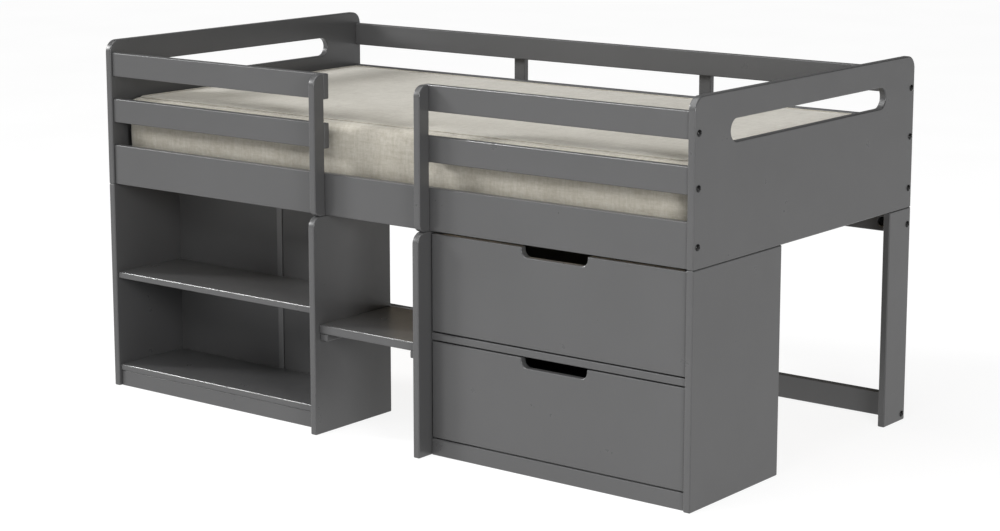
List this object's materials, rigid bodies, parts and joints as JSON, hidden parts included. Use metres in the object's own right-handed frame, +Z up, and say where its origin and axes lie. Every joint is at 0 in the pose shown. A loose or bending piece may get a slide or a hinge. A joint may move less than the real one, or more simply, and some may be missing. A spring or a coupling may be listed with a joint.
{
  "type": "loft bed",
  "caption": "Mid-height children's loft bed with guard rails and mattress over an open bookshelf, a step and a drawer chest.",
  "frame": {"origin": "on the floor under the middle of the whole bed's bounding box", "axes": "+X along the bed from headboard to footboard, +Z up; the open front with the drawers faces -Y"},
  "size_m": [2.008, 1.134, 1.01],
  "materials": {
    "anthracite_paint": "satin dark grey paint on board, edges slightly rounded",
    "back_board": "matt dark grey thin back board",
    "bare_wood": "planed pine, unfinished",
    "drawer_wood": "matt dark grey board of the drawer boxes and runners",
    "mattress_cloth": "natural linen-look woven cover with slubs",
    "bolt_steel": "black zinc, slightly glossy"
  },
  "bodies": {
    "bed_frame": {"headboard": "anthracite_paint", "footboard": "anthracite_paint", "front_side_rail": "anthracite_paint", "rear_side_rail": "anthracite_paint", "front_left_lower_slat": "anthracite_paint", "front_right_lower_slat": "anthracite_paint", "rear_lower_slat": "anthracite_paint", "front_left_upper_slat": "anthracite_paint", "front_right_upper_slat": "anthracite_paint", "rear_upper_slat": "anthracite_paint", "front_left_post": "anthracite_paint", "rear_left_post": "anthracite_paint", "front_right_post": "anthracite_paint", "rear_right_post": "anthracite_paint", "bookshelf_left_side": "anthracite_paint", "bookshelf_right_side": "anthracite_paint", "bookshelf_bottom_shelf": "anthracite_paint", "bookshelf_middle_shelf": "anthracite_paint", "bookshelf_toe_kick": "anthracite_paint", "step_board": "anthracite_paint", "step_left_cleat": "anthracite_paint", "step_right_cleat": "anthracite_paint", "chest_left_side": "anthracite_paint", "chest_right_side": "anthracite_paint", "chest_plinth": "anthracite_paint", "chest_divider_rail": "anthracite_paint", "rear_left_leg": "anthracite_paint", "rear_right_leg": "anthracite_paint", "rear_lower_stretcher": "anthracite_paint", "rear_upper_stretcher": "anthracite_paint", "bookshelf_back_left": "back_board", "bookshelf_back_right": "back_board", "bookshelf_back_joiner": "back_board", "chest_back_panel": "back_board", "front_ledger": "bare_wood", "rear_ledger": "bare_wood", "slat_base": "bare_wood", "lower_left_runner": "drawer_wood", "lower_right_runner": "drawer_wood", "middle_left_runner": "drawer_wood", "middle_right_runner": "drawer_wood", "upper_left_runner": "drawer_wood", "upper_right_runner": "drawer_wood", "mattress": "mattress_cloth", "head_front_rail_bolt": "bolt_steel", "head_rear_rail_bolt": "bolt_steel", "head_stretcher_bolt": "bolt_steel", "foot_front_rail_bolt": "bolt_steel", "foot_rear_rail_bolt": "bolt_steel", "foot_stretcher_bolt": "bolt_steel"},
    "lower_drawer": {"lower_drawer_front": "anthracite_paint", "lower_drawer_left_side": "drawer_wood", "lower_drawer_right_side": "drawer_wood", "lower_drawer_back": "drawer_wood", "lower_drawer_bottom": "drawer_wood"},
    "upper_drawer": {"upper_drawer_front": "anthracite_paint", "upper_drawer_left_side": "drawer_wood", "upper_drawer_right_side": "drawer_wood", "upper_drawer_back": "drawer_wood", "upper_drawer_bottom": "drawer_wood"}
  },
  "joints": [
    {"name": "lower_drawer_slide", "type": "slide", "parent": "bed_frame", "child": "lower_drawer", "axis": [0, -1, 0], "range_m": [0, 0.27]},
    {"name": "upper_drawer_slide", "type": "slide", "parent": "bed_frame", "child": "upper_drawer", "axis": [0, -1, 0], "range_m": [0, 0.27]}
  ]
}
